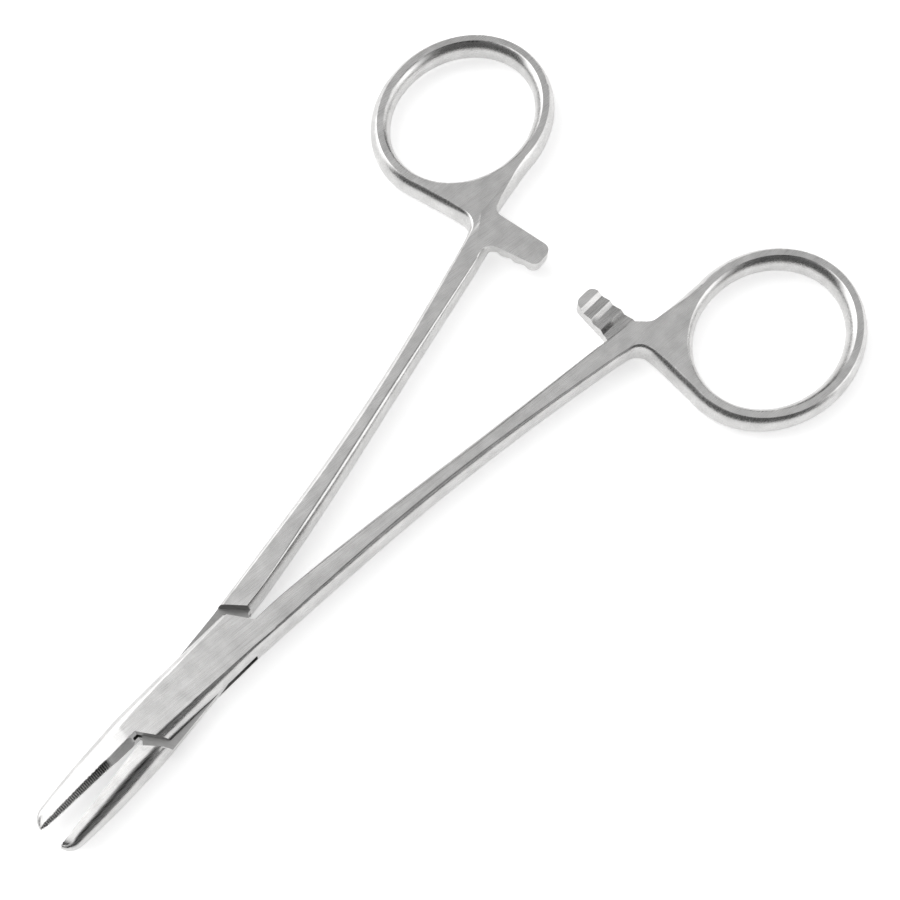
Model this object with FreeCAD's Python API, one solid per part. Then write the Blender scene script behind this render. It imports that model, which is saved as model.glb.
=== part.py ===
import FreeCAD, Part
import os
from math import acos, atan2, cos, degrees, pi, radians, sin, sqrt, tan

# Needle holder of about 15 cm with a riveted box lock. All sizes are in millimetres.
# The world origin is on the pivot axis, at the underside of the box. +X points to the finger rings, +Z is up.
# Each half is first drawn closed, in its own frame: pivot at the origin, mid-plane at z = 0, its ring on the
# +y side and its jaw on the -y side. Then the box half is mirrored, and both are opened and lifted.

# How far the two halves stand open at rest, in degrees
REST_OPENING = 7.3

# Side crown is how far a side bulges past the flat above it. Roll is how far, in degrees, the side has turned
# from upright where it meets the flat: 90 leaves no edge there.

# Box: the block that the joint sits in. Its sides bulge more towards the jaws.
BOX_HALF_LENGTH = 12.5
BOX_HALF_WIDTH = 4.2
BOX_HALF_HEIGHT = 3.1
# Share of the half length, side crown and roll at each station, from the jaw end to the shank end
BOX_SIDE_STATIONS = [
    (-1.0, 2.05, 85.0),
    (-0.5, 1.72, 73.0),
    (0.0, 1.4, 62.0),
    (0.5, 1.12, 61.0),
    (1.0, 0.85, 60.0),
]

# Slot in the box half and the tongue that runs in it
TONGUE_HALF_HEIGHT = 0.8
TONGUE_CLEARANCE = 0.08
CHEEK_END_DISTANCE = 9.85
STEP_DISTANCE = 10.95
STEP_TURN = 33.7
SLOT_END = 12.8
TONGUE_END_GAP = 0.4

# Joint pin, riveted into the cheeks and running in the tongue
PIN_RADIUS = 1.9
PIN_RUNNING_CLEARANCE = 0.03

# Gap that each half keeps from the closed centre line
SHANK_GAP = 0.12
JAW_GAP_AT_BOX = 0.1
JAW_GAP_AT_TIP = 0.03

# Jaw: distance from the pivot, width, half height and side crown at each station
JAW_STATIONS = [
    (16.5, 3.75, 2.78, 2.3),
    (22.0, 3.24, 2.34, 2.05),
    (26.5, 2.65, 1.95, 1.65),
    (28.9, 2.28, 1.62, 1.3),
    (30.1, 1.6, 1.32, 0.95),
]
JAW_LENGTH = 30.9
JAW_TIP_WIDTH = 0.8
JAW_TIP_HALF_HEIGHT = 0.95
JAW_TIP_CROWN = 0.5
JAW_ROLL = 90.0

# Shank: distance from the pivot, inner edge, outer edge, half height, inner crown and outer crown
SHANK_STATIONS = [
    (18.0, 0.2, 4.55, 3.07, 0.75, 0.95),
    (24.8, 0.47, 4.97, 3.0, 1.1, 1.1),
    (38.0, 1.68, 5.78, 2.83, 1.22, 1.22),
    (52.0, 3.3, 7.02, 2.66, 1.21, 1.21),
    (67.0, 5.07, 8.85, 2.51, 1.0, 1.0),
]
# The same where the shank passes the arm, with the distance measured from the arm's near edge
SHANK_END_STATIONS = [
    (-4.5, 6.92, 11.25, 2.45, 0.75, 0.75),
    (4.5, 8.1, 12.6, 2.45, 0.75, 0.75),
]
SHANK_INNER_CROWN_AT_BOX = 0.6
SHANK_ROLL = 72.0

# Finger ring: an oval of four arcs, with the same section all round
RING_CENTRE_FROM_ARM = 17.5
RING_CENTRE_Y = 26.25
RING_HOLE_HALF_LENGTH = 14.42
RING_HOLE_HALF_WIDTH = 11.57
RING_HOLE_END_RADIUS = 9.9
RING_HALF_HEIGHT = 2.45
RING_FLAT = 1.12
RING_INNER_CROWN = 1.25
RING_OUTER_CROWN = 1.15

# Ratchet arm: half of the thickness, reaching over the centre line, wider at its root
ARM_NEAR_X = 87.5
ARM_WIDTH = 4.35
ARM_FLARE = 1.2
ARM_REACH = 1.4
ARM_TIP_RADIUS = 1.4
ARM_ROOT_Y = 8.2
ARM_CORNER_Y = 7.7
ARM_CORNER_RADIUS = 1.3
ARM_FAR_RADIUS = 1.6
ARM_FACE_GAP = 0.05

# Room above the arm for the arm of the other half
RECESS_MARGIN = 2.6
RECESS_CORNER_RADIUS = 0.8

# Web between shank, ring and arm, placed from the arm. Its two edges cross the shank and end in the ring.
CROTCH_FROM_ARM = 2.0
CROTCH_Y = 12.6
CROTCH_RADIUS = 2.1
CROTCH_CROWN = 0.75
KNEE_FROM_ARM = 5.1
KNEE_Y = 10.75
KNEE_RADIUS = 2.4
KNEE_CROWN = 0.4
FOOT_FROM_ARM = 11.0
FOOT_Y = 12.0
FOOT_CROWN = 0.95
WEB_RING_ANGLES = (194, 212, 232, 250, 266)

# Ratchet teeth: a long ramp and a short steep flank that holds against opening
TOOTH_COUNT = 3
TOOTH_PITCH = 2.5
TOOTH_DEPTH = 0.65
TOOTH_FLANK = 0.75
FIRST_TOOTH_Y = 0.1

# How far a cutting shape reaches past what it cuts
OVERRUN = 2.0


def vector(x, y, z=0.0):
    return FreeCAD.Vector(x, y, z)


def line(start, end):
    return Part.LineSegment(start, end).toShape()


def arc(start, middle, end):
    return Part.Arc(start, middle, end).toShape()


def rounded_outline(corners, z):
    """Closed wire through (x, y, radius) corners, each rounded by an arc that touches both its sides."""
    count = len(corners)
    tangents = []
    for index, (x, y, radius) in enumerate(corners):
        here = vector(x, y, z)
        before = vector(corners[index - 1][0], corners[index - 1][1], z) - here
        after = vector(corners[(index + 1) % count][0], corners[(index + 1) % count][1], z) - here
        before.normalize()
        after.normalize()
        if radius == 0:
            tangents.append((here, None, here))
            continue
        half_cos = sqrt((1 + before.dot(after)) / 2)
        half_sin = sqrt((1 - before.dot(after)) / 2)
        setback = radius * half_cos / half_sin
        bisector = before + after
        bisector.normalize()
        middle = here + bisector * (radius / half_sin - radius)
        tangents.append((here + before * setback, middle, here + after * setback))
    edges = []
    for index, (start, middle, end) in enumerate(tangents):
        if middle is not None:
            edges.append(arc(start, middle, end))
        edges.append(line(end, tangents[(index + 1) % count][0]))
    return Part.Wire(edges)


def plate(corners, z_low, z_high):
    face = Part.Face(rounded_outline(corners, z_low))
    return face.extrude(vector(0, 0, z_high - z_low))


def side_curve(x, flat_y, crest_y, half_height, roll):
    """Part of an ellipse from the upper flat over the crest to the lower flat. It stands upright at the crest
    and has turned by roll degrees where it meets the flats, so that 90 degrees leaves no edge there."""
    crown = abs(crest_y - flat_y)
    outward = 1 if crest_y > flat_y else -1
    end = acos(1 / (tan(radians(roll)) * half_height / crown - 1))
    depth = crown / (1 - cos(end))
    height = half_height / sin(end)
    centre = vector(x, crest_y - outward * depth, 0)
    to_top = vector(0, 0, height)
    to_crest = vector(0, outward * depth, 0)
    if height >= depth:
        ellipse = Part.Ellipse(centre + to_top, centre + to_crest, centre)
        return ellipse.toShape(pi / 2 - end, pi / 2 + end)
    ellipse = Part.Ellipse(centre + to_crest, centre - to_top, centre)
    return ellipse.toShape(-end, end)


def crowned_section(x, low, high, half_height, low_crown, high_crown, low_roll, high_roll):
    """Flat above and below, with both sides bulging to a crest at the mid-plane."""
    low_flat = low + low_crown
    high_flat = high - high_crown
    edges = [
        line(vector(x, low_flat, half_height), vector(x, high_flat, half_height)),
        side_curve(x, high_flat, high, half_height, high_roll),
        line(vector(x, high_flat, -half_height), vector(x, low_flat, -half_height)),
        side_curve(x, low_flat, low, half_height, low_roll),
    ]
    return Part.Wire(edges)


def jaw_section(x, face, width, half_height, crown, roll):
    """Upright gripping face at y = face and a rounded back at face - width."""
    flat = face - width + crown
    edges = [
        line(vector(x, face, half_height), vector(x, flat, half_height)),
        side_curve(x, flat, face - width, half_height, roll),
        line(vector(x, flat, -half_height), vector(x, face, -half_height)),
        line(vector(x, face, -half_height), vector(x, face, half_height)),
    ]
    return Part.Wire(edges)


def box_block():
    """Straight stretch with the full width, which both halves are cut from."""
    sections = []
    for share, crown, roll in BOX_SIDE_STATIONS:
        x = share * BOX_HALF_LENGTH
        sections.append(
            crowned_section(x, -BOX_HALF_WIDTH, BOX_HALF_WIDTH, BOX_HALF_HEIGHT, crown, crown, roll, roll)
        )
    return Part.makeLoft(sections, True, True)


def jaw_blank():
    def face_at(distance):
        share = (distance - BOX_HALF_LENGTH) / (JAW_LENGTH - BOX_HALF_LENGTH)
        return -JAW_GAP_AT_BOX + share * (JAW_GAP_AT_BOX - JAW_GAP_AT_TIP)

    crown, roll = BOX_SIDE_STATIONS[0][1:]
    root_width = BOX_HALF_WIDTH - JAW_GAP_AT_BOX
    sections = [jaw_section(-BOX_HALF_LENGTH, -JAW_GAP_AT_BOX, root_width, BOX_HALF_HEIGHT, crown, roll)]
    for distance, width, half_height, crown in JAW_STATIONS:
        sections.append(jaw_section(-distance, face_at(distance), width, half_height, crown, JAW_ROLL))
    sections.append(
        jaw_section(-JAW_LENGTH, -JAW_GAP_AT_TIP, JAW_TIP_WIDTH, JAW_TIP_HALF_HEIGHT, JAW_TIP_CROWN, JAW_ROLL)
    )
    return Part.makeLoft(sections, True, True)


def shank_blank():
    crown, roll = BOX_SIDE_STATIONS[-1][1:]
    sections = [
        crowned_section(
            BOX_HALF_LENGTH,
            SHANK_GAP,
            BOX_HALF_WIDTH,
            BOX_HALF_HEIGHT,
            SHANK_INNER_CROWN_AT_BOX,
            crown,
            roll,
            roll,
        )
    ]
    stations = list(SHANK_STATIONS)
    for from_arm, *sizes in SHANK_END_STATIONS:
        stations.append((ARM_NEAR_X + from_arm, *sizes))
    for x, inner, outer, half_height, inner_crown, outer_crown in stations:
        sections.append(
            crowned_section(x, inner, outer, half_height, inner_crown, outer_crown, SHANK_ROLL, SHANK_ROLL)
        )
    return Part.makeLoft(sections, True, True)


def ring_arcs():
    """Centre, hole radius, first direction and turn of the oval's arcs, which join without a corner."""
    end_radius = RING_HOLE_END_RADIUS
    end_offset = RING_HOLE_HALF_LENGTH - end_radius
    squares = RING_HOLE_HALF_LENGTH**2 + RING_HOLE_HALF_WIDTH**2
    excess = squares - 2 * RING_HOLE_HALF_LENGTH * end_radius
    side_radius = excess / (2 * (RING_HOLE_HALF_WIDTH - end_radius))
    side_offset = side_radius - RING_HOLE_HALF_WIDTH
    meet = degrees(atan2(side_offset, end_offset))
    x = ARM_NEAR_X + RING_CENTRE_FROM_ARM
    y = RING_CENTRE_Y
    return [
        (x + end_offset, y, end_radius, -meet, 2 * meet),
        (x, y - side_offset, side_radius, meet, 180 - 2 * meet),
        (x - end_offset, y, end_radius, 180 - meet, 2 * meet),
        (x, y + side_offset, side_radius, 180 + meet, 180 - 2 * meet),
    ]


def ring_section(hole_radius):
    """Upright section on the x axis: flat above and below, round towards the hole and outside."""
    inner_flat = hole_radius + RING_INNER_CROWN
    outer_flat = inner_flat + RING_FLAT
    outside = outer_flat + RING_OUTER_CROWN
    high = RING_HALF_HEIGHT
    edges = [
        line(vector(inner_flat, 0, high), vector(outer_flat, 0, high)),
        arc(vector(outer_flat, 0, high), vector(outside, 0, 0), vector(outer_flat, 0, -high)),
        line(vector(outer_flat, 0, -high), vector(inner_flat, 0, -high)),
        arc(vector(inner_flat, 0, -high), vector(hole_radius, 0, 0), vector(inner_flat, 0, high)),
    ]
    return Part.Face(Part.Wire(edges))


def ring():
    """The section is turned about the centre of each arc in its turn."""
    axis = vector(0, 0, 1)
    sectors = []
    for centre_x, centre_y, hole_radius, start, turn in ring_arcs():
        section = ring_section(hole_radius)
        section.rotate(vector(0, 0, 0), axis, start)
        section.translate(vector(centre_x, centre_y))
        sectors.append(section.revolve(vector(centre_x, centre_y), axis, turn))
    return sectors[0].fuse(sectors[1:])


def point_in_ring_band(angle):
    """Point on the middle of the ring's flat, for edges that end inside the ring."""
    to_middle = RING_INNER_CROWN + RING_FLAT / 2
    for centre_x, centre_y, hole_radius, start, turn in ring_arcs():
        if (angle - start) % 360 <= turn:
            break
    x = centre_x + (hole_radius + to_middle) * cos(radians(angle))
    y = centre_y + (hole_radius + to_middle) * sin(radians(angle))
    return x, y


def web():
    """Plate that joins shank and ring, with bulging sides, lofted through its outline at three levels."""

    def outline(z, bulge):
        left_x, left_y = point_in_ring_band(WEB_RING_ANGLES[0])
        foot_x, foot_y = point_in_ring_band(WEB_RING_ANGLES[-1])
        crotch_x = ARM_NEAR_X + CROTCH_FROM_ARM
        crotch_crown = bulge * CROTCH_CROWN
        knee_crown = bulge * KNEE_CROWN
        foot_crown = bulge * FOOT_CROWN
        shank_x = ARM_NEAR_X - 2 * CROTCH_FROM_ARM
        corners = [
            (left_x - crotch_crown, left_y, 0),
            (crotch_x - crotch_crown, CROTCH_Y + crotch_crown, CROTCH_RADIUS - crotch_crown),
            (shank_x, CROTCH_Y - CROTCH_RADIUS + crotch_crown, 0),
            (shank_x, ARM_ROOT_Y + KNEE_CROWN, 0),
            (ARM_NEAR_X + CROTCH_FROM_ARM, ARM_ROOT_Y - knee_crown, 0),
            (ARM_NEAR_X + KNEE_FROM_ARM, KNEE_Y - knee_crown, KNEE_RADIUS),
            (ARM_NEAR_X + FOOT_FROM_ARM, FOOT_Y - foot_crown, 0),
            (foot_x, foot_y - foot_crown, 0),
        ]
        for angle in WEB_RING_ANGLES[-2:0:-1]:
            corners.append((*point_in_ring_band(angle), 0))
        return rounded_outline(corners, z)

    wires = [
        outline(RING_HALF_HEIGHT, 0.0),
        outline(0.0, 1.0),
        outline(-RING_HALF_HEIGHT, 0.0),
    ]
    return Part.makeLoft(wires, True, False)


def arm_outline():
    far_x = ARM_NEAR_X + ARM_WIDTH
    root_x = ARM_NEAR_X - ARM_FLARE
    return [
        (ARM_NEAR_X, -ARM_REACH, ARM_TIP_RADIUS),
        (far_x, -ARM_REACH, ARM_TIP_RADIUS),
        (far_x, ARM_ROOT_Y + RECESS_CORNER_RADIUS, ARM_FAR_RADIUS),
        (ARM_NEAR_X + KNEE_FROM_ARM + OVERRUN, KNEE_Y, 0),
        (ARM_NEAR_X + KNEE_FROM_ARM, KNEE_Y + OVERRUN, 0),
        (root_x - OVERRUN, ARM_ROOT_Y + OVERRUN / 2, 0),
        (root_x - OVERRUN, ARM_CORNER_Y, 0),
        (root_x, ARM_CORNER_Y, ARM_CORNER_RADIUS),
    ]


def ratchet_arm():
    """Arm on the lower side, with teeth on its upper face. The other half turns it over."""
    arm = plate(arm_outline(), -RING_HALF_HEIGHT, -ARM_FACE_GAP)
    for number in range(TOOTH_COUNT):
        arm = arm.cut(tooth_gap(FIRST_TOOTH_Y + number * TOOTH_PITCH))
    return arm


def tooth_gap(ridge_y):
    """Wedge behind a ridge: down the steep flank, then up the ramp to the next ridge."""
    x = ARM_NEAR_X - ARM_FLARE - OVERRUN
    crest = -ARM_FACE_GAP
    root = crest - TOOTH_DEPTH
    corners = [
        vector(x, ridge_y, crest),
        vector(x, ridge_y + TOOTH_FLANK, root),
        vector(x, ridge_y + TOOTH_PITCH, crest),
        vector(x, ridge_y + TOOTH_PITCH, crest + OVERRUN),
        vector(x, ridge_y, crest + OVERRUN),
    ]
    face = Part.Face(Part.makePolygon(corners + corners[:1]))
    return face.extrude(vector(ARM_WIDTH + ARM_FLARE + 2 * OVERRUN, 0, 0))


def arm_recess():
    """Space above the arm, up to a wall that the other arm's tip never reaches."""
    near_x = ARM_NEAR_X - RECESS_MARGIN
    far_x = ARM_NEAR_X + ARM_WIDTH + RECESS_MARGIN
    corners = [
        (near_x, -ARM_REACH - RECESS_MARGIN, 0),
        (far_x, -ARM_REACH - RECESS_MARGIN, 0),
        (far_x, ARM_ROOT_Y - RECESS_CORNER_RADIUS, 0),
        (ARM_NEAR_X + ARM_WIDTH - RECESS_CORNER_RADIUS, ARM_ROOT_Y, RECESS_CORNER_RADIUS),
        (near_x, ARM_ROOT_Y - RECESS_CORNER_RADIUS, 0),
    ]
    return plate(corners, -ARM_FACE_GAP, RING_HALF_HEIGHT + OVERRUN)


def half_plane(distance, turn):
    """Tall slab of everything further than distance from the pivot, in the direction turn degrees."""
    reach = 4 * BOX_HALF_LENGTH
    slab = Part.makeBox(reach, 2 * reach, 2 * reach, vector(distance, -reach, -reach))
    return slab.rotate(vector(0, 0, 0), vector(0, 0, 1), turn)


def blank(block):
    """Everything that both halves share, with the block already cut to its half's plan."""
    body = block
    for piece in (jaw_blank(), shank_blank(), ring(), web(), ratchet_arm()):
        body = body.fuse(piece)
    return body.cut(arm_recess())


def band(z_low, z_high):
    """Level layer that covers the box and its surroundings."""
    size = 3 * BOX_HALF_LENGTH
    return Part.makeBox(size, size, z_high - z_low, vector(-size / 2, -size / 2, z_low))


def keep_below(shape, y):
    """Part of the shape that lies on the -y side of y."""
    size = 8 * BOX_HALF_LENGTH
    return shape.common(Part.makeBox(size, size, size, vector(-size / 2, y - size, -size / 2)))


def box_half():
    ring_end = keep_below(half_plane(CHEEK_END_DISTANCE, -STEP_TURN), SHANK_GAP)
    jaw_end = half_turn(keep_below(half_plane(CHEEK_END_DISTANCE, -STEP_TURN), JAW_GAP_AT_BOX))
    body = blank(box_block().cut(ring_end).cut(jaw_end))
    slot_half_height = TONGUE_HALF_HEIGHT + TONGUE_CLEARANCE
    slot = band(-slot_half_height, slot_half_height)
    slot = slot.cut(half_plane(SLOT_END / sqrt(2), 45))
    slot = slot.cut(half_plane(SLOT_END / sqrt(2), 225))
    return body.cut(slot).cut(pin_cylinder(PIN_RADIUS))


def half_turn(shape):
    """The box and the tongue look the same after half a turn about the pivot."""
    turned = shape.copy()
    turned.rotate(vector(0, 0, 0), vector(0, 0, 1), 180)
    return turned


def tongue_half():
    """Both flats of the tongue are milled between shoulders that stand clear of the cheeks' ends."""
    end = (SLOT_END - TONGUE_END_GAP) / sqrt(2)
    ring_end = keep_below(half_plane(end, -45), SHANK_GAP)
    jaw_end = half_turn(keep_below(half_plane(end, -45), JAW_GAP_AT_BOX))
    body = turn_over(blank(box_block().cut(ring_end).cut(jaw_end)))
    outside = BOX_HALF_HEIGHT + OVERRUN
    for layer in (band(TONGUE_HALF_HEIGHT, outside), band(-outside, -TONGUE_HALF_HEIGHT)):
        relief = layer.cut(half_plane(STEP_DISTANCE, STEP_TURN))
        relief = relief.cut(half_plane(STEP_DISTANCE, STEP_TURN + 180))
        body = body.cut(relief)
    return body.cut(pin_cylinder(PIN_RADIUS + PIN_RUNNING_CLEARANCE))


def turn_over(shape):
    """Mirror in the mid-plane, so that the ratchet arm changes from the lower to the upper side."""
    return shape.mirror(vector(0, 0, 0), vector(0, 0, 1))


def pin_cylinder(radius):
    height = 2 * BOX_HALF_HEIGHT
    return Part.makeCylinder(radius, height, vector(0, 0, -BOX_HALF_HEIGHT))


def place(shape, angle):
    placed = shape.copy()
    placed.rotate(vector(0, 0, 0), vector(0, 0, 1), angle)
    placed.translate(vector(0, 0, BOX_HALF_HEIGHT))
    return placed


def export(shape, name):
    solids = shape.Solids
    if len(solids) != 1 or not shape.isValid():
        print("check", name, "solids", len(solids), "valid", shape.isValid())
    shape.exportStep("parts/" + name + ".step")
    box = shape.BoundBox
    print(name, "volume", round(shape.Volume, 1), "x", round(box.XMin, 2), round(box.XMax, 2),
          "y", round(box.YMin, 2), round(box.YMax, 2), "z", round(box.ZMin, 2), round(box.ZMax, 2))


def main():
    os.makedirs("parts", exist_ok=True)
    mirrored = box_half().mirror(vector(0, 0, 0), vector(0, 1, 0))
    export(place(mirrored, -REST_OPENING / 2), "box_half")
    export(place(tongue_half(), REST_OPENING / 2), "tongue_half")
    export(place(pin_cylinder(PIN_RADIUS), 0), "joint_pin")


main()
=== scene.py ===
# %% [markdown]
# # A needle holder in satin steel
# This lesson dresses a surgical needle holder. Two steel halves cross in a box lock, a rivet joins them,
# and two ratchet arms meet between the finger rings. The frame gives the exact solids and how they move.
# Here each half gets the surfaces, edges and finish of the real one, and then light and a camera.

# %% Load the frame
import math

import bpy
import numpy as np
from mathutils import Matrix, Vector
from mathutils.geometry import tessellate_polygon


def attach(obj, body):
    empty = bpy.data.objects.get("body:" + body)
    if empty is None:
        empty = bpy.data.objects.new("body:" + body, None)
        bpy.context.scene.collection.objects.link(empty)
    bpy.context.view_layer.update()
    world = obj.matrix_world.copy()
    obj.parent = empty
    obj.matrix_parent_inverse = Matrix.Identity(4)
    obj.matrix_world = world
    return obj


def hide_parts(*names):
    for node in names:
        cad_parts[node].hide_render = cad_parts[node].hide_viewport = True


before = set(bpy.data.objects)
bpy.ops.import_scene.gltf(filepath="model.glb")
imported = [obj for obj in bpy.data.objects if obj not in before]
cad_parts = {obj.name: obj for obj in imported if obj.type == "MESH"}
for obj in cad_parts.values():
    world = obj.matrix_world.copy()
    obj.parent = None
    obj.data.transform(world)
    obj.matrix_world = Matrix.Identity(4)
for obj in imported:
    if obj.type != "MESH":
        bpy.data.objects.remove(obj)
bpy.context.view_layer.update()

# %% [markdown]
# ## Units
# A toolmaker's drawing of such an instrument is in millimetres, and Blender's scene is in metres. One
# named value turns one into the other, so that every size below can be read off a ruler.

# %% Millimetres
MM = 0.001
print("one millimetre in metres:", MM)

# %% [markdown]
# ## The grain of ground steel
# The flats of the halves are ground on a belt, which leaves long, fine, parallel scratches. Noise that is
# stretched along one direction makes such lines: its scale is small across the scratches and large along
# them. Several materials need it, so it is a node group with named sockets. It puts out values only.

# %% Group: stretched grain
GRAIN_DETAIL, GRAIN_SHARPNESS = 3.0, 0.65


def group_socket(group, name, kind, direction, default=None):
    """A named input or output of a node group."""
    socket = group.interface.new_socket(name=name, in_out=direction, socket_type=kind)
    if default is not None:
        socket.default_value = default
    return socket


def math_node(nodes, links, operation, *values):
    """One Math node. Its values are sockets or plain numbers, and it gives back its output socket."""
    node = nodes.new("ShaderNodeMath")
    node.operation = operation
    for socket, value in zip(node.inputs, values):
        if isinstance(value, (int, float)):
            socket.default_value = value
        else:
            links.new(value, socket)
    return node.outputs[0]


def make_grain_group():
    """Value = noise at the position, after it is squeezed along the scratches and spread across them."""
    group = bpy.data.node_groups.new("ground grain", "ShaderNodeTree")
    group_socket(group, "Position", "NodeSocketVector", "INPUT")
    group_socket(group, "Turn", "NodeSocketFloat", "INPUT", 0.0)
    group_socket(group, "Scratches per metre", "NodeSocketFloat", "INPUT", 4000.0)
    group_socket(group, "Length share", "NodeSocketFloat", "INPUT", 0.02)
    group_socket(group, "Grain", "NodeSocketFloat", "OUTPUT")
    nodes, links = group.nodes, group.links
    inputs = nodes.new("NodeGroupInput")
    outputs = nodes.new("NodeGroupOutput")
    turn = nodes.new("ShaderNodeVectorRotate")
    turn.rotation_type = "Z_AXIS"
    links.new(inputs.outputs["Position"], turn.inputs["Vector"])
    links.new(inputs.outputs["Turn"], turn.inputs["Angle"])
    across = inputs.outputs["Scratches per metre"]
    along = math_node(nodes, links, "MULTIPLY", across, inputs.outputs["Length share"])
    stretch = nodes.new("ShaderNodeCombineXYZ")
    links.new(along, stretch.inputs["X"])
    links.new(across, stretch.inputs["Y"])
    links.new(across, stretch.inputs["Z"])
    scaled = nodes.new("ShaderNodeVectorMath")
    scaled.operation = "MULTIPLY"
    links.new(turn.outputs["Vector"], scaled.inputs[0])
    links.new(stretch.outputs["Vector"], scaled.inputs[1])
    noise = nodes.new("ShaderNodeTexNoise")
    noise.inputs["Scale"].default_value = 1.0
    noise.inputs["Detail"].default_value = GRAIN_DETAIL
    noise.inputs["Roughness"].default_value = GRAIN_SHARPNESS
    links.new(scaled.outputs["Vector"], noise.inputs["Vector"])
    links.new(noise.outputs["Fac"], outputs.inputs["Grain"])
    return group


grain_group = make_grain_group()
print("group:", grain_group.name)

# %% [markdown]
# ## Satin steel
# Instrument steel is matt enough not to dazzle under a theatre lamp. The metal itself has one colour, and the
# darker and brighter copies of it below are painted light. What the eye reads as brushing is a change of
# roughness and a very small relief, so the grain drives both. A slow cloudiness of a few millimetres lies
# over it, left by hands and by the polishing wheel. A darker tone paints the shade in slots, recesses and
# between the jaws, and a brighter one paints a highlight on the broken edges, which are also worn. On the
# gripping faces a painted highlight lies on the points and painted shade in the hollows, and how far the
# surface bulges at a spot tells the two apart.

# %% Helpers: values that change over the steel


def grain_value(nodes, links, place, turn_degrees, grain):
    """One grain group on Object coordinates. A grain is an added turn, scratches per metre and a share."""
    added_turn, per_metre, length_share = grain
    node = nodes.new("ShaderNodeGroup")
    node.node_tree = grain_group
    node.inputs["Turn"].default_value = math.radians(turn_degrees + added_turn)
    node.inputs["Scratches per metre"].default_value = per_metre
    node.inputs["Length share"].default_value = length_share
    links.new(place.outputs["Object"], node.inputs["Position"])
    return node.outputs["Grain"]


def moved_range(nodes, links, value, from_range, to_range):
    """The value in a straight line from one range to another, and held at the ends."""
    node = nodes.new("ShaderNodeMapRange")
    names = ("From Min", "From Max", "To Min", "To Max")
    for name, number in zip(names, (*from_range, *to_range)):
        node.inputs[name].default_value = number
    links.new(value, node.inputs["Value"])
    return node.outputs["Result"]


def scaled_colour(nodes, links, colour, amount):
    """The colour times a value that changes over the surface."""
    node = nodes.new("ShaderNodeVectorMath")
    node.operation = "SCALE"
    links.new(colour, node.inputs["Vector"])
    links.new(amount, node.inputs["Scale"])
    return node.outputs["Vector"]


# %% Material: satin steel
STEEL_COLOUR = (0.68, 0.675, 0.67)
COARSE_GRAIN, FINE_GRAIN = (0.0, 3500.0, 0.03), (4.0, 9000.0, 0.015)
GRAIN_RANGE = (0.3, 0.7)
SCRATCH_SHADE = 0.8
SCRATCH_DEPTH = 0.02 * MM
CLOUDS_PER_METRE, CLOUD_DETAIL = 350.0, 4.0
CLOUD_DEPTH, CLOUD_MIDDLE = 0.5, 0.6
# Pointiness range, then the painted shade in the grip's hollows and the painted highlight on its points
PAINTED_LIGHT_BULGE, HOLLOW_SHADE_POINT_HIGHLIGHT = (0.485, 0.54), (0.08, 1.7)


def make_steel(name, turn_degrees, roughness_range, relief, painted_light_tone=1.0, painted_points_and_hollows=False):
    """The tone paints light: below one, shade in recesses and between the jaws; above one, a highlight. The
    points option paints highlights on points and shade in hollows.
    """
    material = bpy.data.materials.new(name)
    material.use_nodes = True
    nodes, links = material.node_tree.nodes, material.node_tree.links
    shader = nodes["Principled BSDF"]
    shader.inputs["Metallic"].default_value = 1.0
    place = nodes.new("ShaderNodeTexCoord")
    coarse = grain_value(nodes, links, place, turn_degrees, COARSE_GRAIN)
    fine = grain_value(nodes, links, place, turn_degrees, FINE_GRAIN)
    both = math_node(nodes, links, "ADD", coarse, fine)
    grain = math_node(nodes, links, "MULTIPLY", both, 0.5)
    roughness = moved_range(nodes, links, grain, GRAIN_RANGE, roughness_range)
    links.new(roughness, shader.inputs["Roughness"])
    tint = nodes.new("ShaderNodeValToRGB")
    for element, position, shade in zip(tint.color_ramp.elements, GRAIN_RANGE, (SCRATCH_SHADE, 1.0)):
        element.position = position
        element.color = tuple(shade * painted_light_tone * c for c in STEEL_COLOUR) + (1.0,)
    links.new(grain, tint.inputs["Fac"])
    clouds = nodes.new("ShaderNodeTexNoise")
    clouds.inputs["Scale"].default_value = CLOUDS_PER_METRE
    clouds.inputs["Detail"].default_value = CLOUD_DETAIL
    links.new(place.outputs["Object"], clouds.inputs["Vector"])
    clear = 1.0 - CLOUD_DEPTH * CLOUD_MIDDLE
    haze = math_node(nodes, links, "MULTIPLY_ADD", clouds.outputs["Fac"], CLOUD_DEPTH, clear)
    colour = scaled_colour(nodes, links, tint.outputs["Color"], haze)
    # On the grip: painted shade in the hollows and a painted highlight on the points, by how far the surface
    # bulges
    if painted_points_and_hollows:
        bulge = nodes.new("ShaderNodeNewGeometry").outputs["Pointiness"]
        colour = scaled_colour(nodes, links, colour, moved_range(nodes, links, bulge, PAINTED_LIGHT_BULGE, HOLLOW_SHADE_POINT_HIGHLIGHT))
    links.new(colour, shader.inputs["Base Color"])
    bump = nodes.new("ShaderNodeBump")
    bump.inputs["Strength"].default_value = relief
    bump.inputs["Distance"].default_value = SCRATCH_DEPTH
    links.new(grain, bump.inputs["Height"])
    links.new(bump.outputs["Normal"], shader.inputs["Normal"])
    return material


satin_steel = make_steel("satin steel", 8.0, (0.2, 0.34), relief=0.5)
# Broken edges: worn, and brighter as a painted highlight
edge_steel_painted_highlight = make_steel("edge steel, worn, painted highlight", 8.0, (0.12, 0.22), relief=0.2, painted_light_tone=1.3)
# Milled faces: darker as painted shade in the slot, the recess and the box ends
milled_steel_painted_shade = make_steel("milled steel, painted shade", 70.0, (0.25, 0.4), relief=0.6, painted_light_tone=0.55)
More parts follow.
